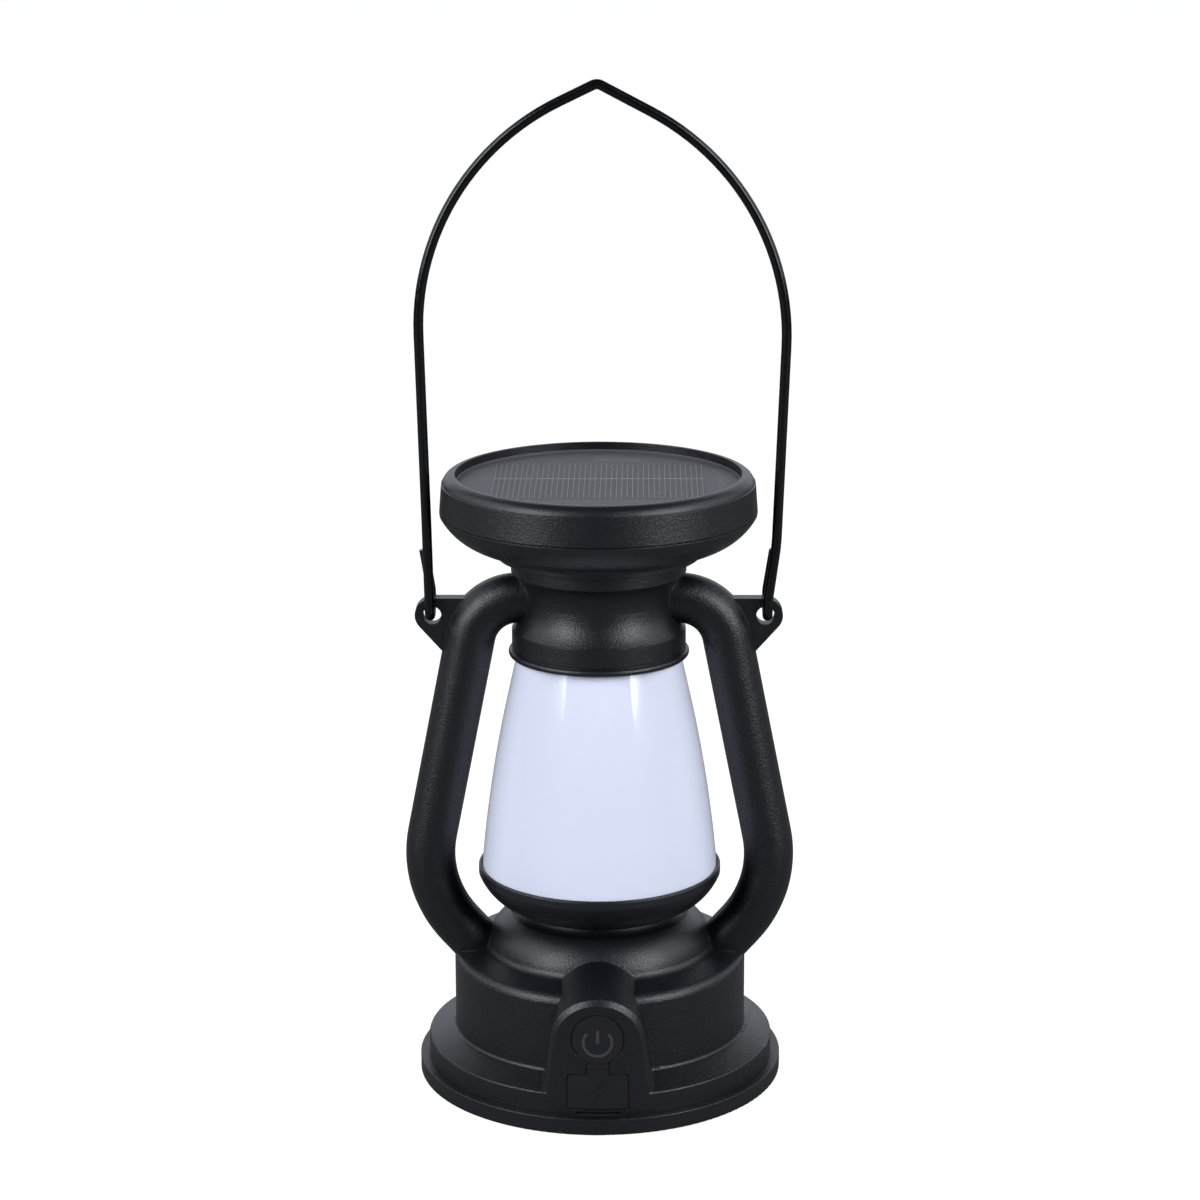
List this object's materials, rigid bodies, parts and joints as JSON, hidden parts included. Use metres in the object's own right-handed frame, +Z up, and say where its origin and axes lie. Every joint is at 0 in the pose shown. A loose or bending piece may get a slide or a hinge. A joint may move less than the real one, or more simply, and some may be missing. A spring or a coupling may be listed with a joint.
{
  "type": "solar lantern",
  "caption": "Battery lantern with a tapered milk-white shade between two hollow side arms, a round solar panel on top, a power button, a hinged port cover and a wire bail.",
  "frame": {"origin": "centre of the plane that the four foot pads rest on, on the lantern's upright axis", "axes": "+Z up along the lantern's upright axis, -Y towards the button and charging port, +X to the viewer's right; the bail stands upright at rest"},
  "size_m": [0.1278, 0.12, 0.3283],
  "materials": {
    "shell_black": "fine moulded texture",
    "plate_black": "fine moulded texture",
    "silicone_black": "matt silicone",
    "symbol_grey": "matt silicone",
    "socket_steel": "drawn",
    "board_part_black": "moulded",
    "board_green": "solder mask",
    "cell_wrap": "shrink sleeve",
    "contact_nickel": "plated",
    "ribbon_white": "film",
    "lead_red": "insulated",
    "board_white": "solder mask",
    "led_yellow": "phosphor",
    "shade_white": "smooth",
    "panel_backing": "fibre board",
    "cell_grey": "thin film",
    "panel_clear": "epoxy film",
    "tape_white": "foam",
    "bail_black": "gloss coat",
    "screw_steel": "zinc plated"
  },
  "bodies": {
    "body": {"front_shell": "shell_black", "back_shell": "shell_black", "base_plate": "plate_black", "foot_pads": "silicone_black", "base_gasket": "silicone_black", "cover_anchor": "silicone_black", "socket_shell": "socket_steel", "socket_tongue": "board_part_black", "switch_board": "board_green", "tact_switch": "board_part_black", "battery_cell": "cell_wrap", "battery_cradle": "plate_black", "battery_contacts": "contact_nickel", "main_board": "board_green", "board_parts": "board_part_black", "ribbon_link": "ribbon_white", "panel_leads": "lead_red", "lamp_leads": "lead_red", "battery_leads": "lead_red", "lamp_board": "board_white", "led_chips": "led_yellow", "shade": "shade_white", "solar_bowl": "shell_black", "solar_bezel": "shell_black", "panel_board": "panel_backing", "solar_cells": "cell_grey", "panel_film": "panel_clear", "panel_tape": "tape_white", "base_screws": "screw_steel", "shell_screws": "screw_steel", "head_screws": "screw_steel", "board_screws": "screw_steel", "lamp_screws": "screw_steel"},
    "bail": {"bail_handle": "bail_black"},
    "button": {"button_cap": "silicone_black", "power_symbol": "symbol_grey", "switch_plunger": "board_part_black"},
    "cover": {"port_cover": "silicone_black"}
  },
  "joints": [
    {"name": "bail_swing", "type": "hinge", "parent": "body", "child": "bail", "pos_m": [0, 0, 0.16042], "axis": [1, 0, 0], "range_deg": [-97, 97]},
    {"name": "button_press", "type": "slide", "parent": "body", "child": "button", "axis": [0, 1, 0], "range_m": [0, 0.0008], "stiffness_N_per_m": 2500, "springref_m": -0.0002},
    {"name": "cover_hinge", "type": "hinge", "parent": "body", "child": "cover", "pos_m": [0, -0.05695, 0.0216], "axis": [-1, 0, 0], "range_deg": [0, 110], "stiffness_Nm_per_rad": 0.0008}
  ]
}
